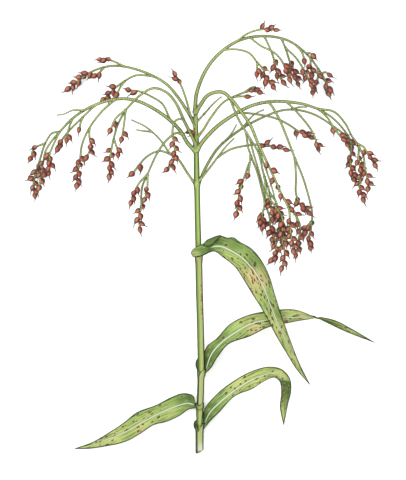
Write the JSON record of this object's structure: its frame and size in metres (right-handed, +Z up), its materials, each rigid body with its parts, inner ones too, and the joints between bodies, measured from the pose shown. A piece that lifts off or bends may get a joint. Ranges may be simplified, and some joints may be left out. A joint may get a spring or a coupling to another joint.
{
  "type": "sorghum seed head",
  "caption": "Cut sorghum stalk with sheathed leaves and an open, drooping seed head of red-brown spikelets, lying on a flat surface.",
  "frame": {"origin": "middle of the small flat spot on the underside of the lowest sheath, near the cut foot, where the stalk touches the surface it lies on", "axes": "+Y along the stalk from the cut foot towards the seed head, +Z up from the surface, +X towards the side of the three right-hand leaves"},
  "size_m": [0.2814, 0.3438, 0.0756],
  "materials": {
    "culm": "satin green stalk, whitish at the cut foot",
    "leaf": "satin green blade with a pale midrib, fine veins and red-brown spots",
    "seed_spray": "slightly glossy red-brown spikelets on light green branches"
  },
  "bodies": {
    "root": {"culm": "culm", "leaf_flag": "leaf", "leaf_second": "leaf", "leaf_third": "leaf", "leaf_fourth": "leaf", "spray_left_main": "seed_spray", "spray_left_loop": "seed_spray", "spray_top_left": "seed_spray", "spray_short_left": "seed_spray", "spray_tiny_left": "seed_spray", "spray_left_low": "seed_spray", "spray_top_right": "seed_spray", "spray_center_loop": "seed_spray", "spray_right_main": "seed_spray", "spray_right_small": "seed_spray", "spray_right_low": "seed_spray", "spray_right_twin": "seed_spray"}
  },
  "joints": []
}
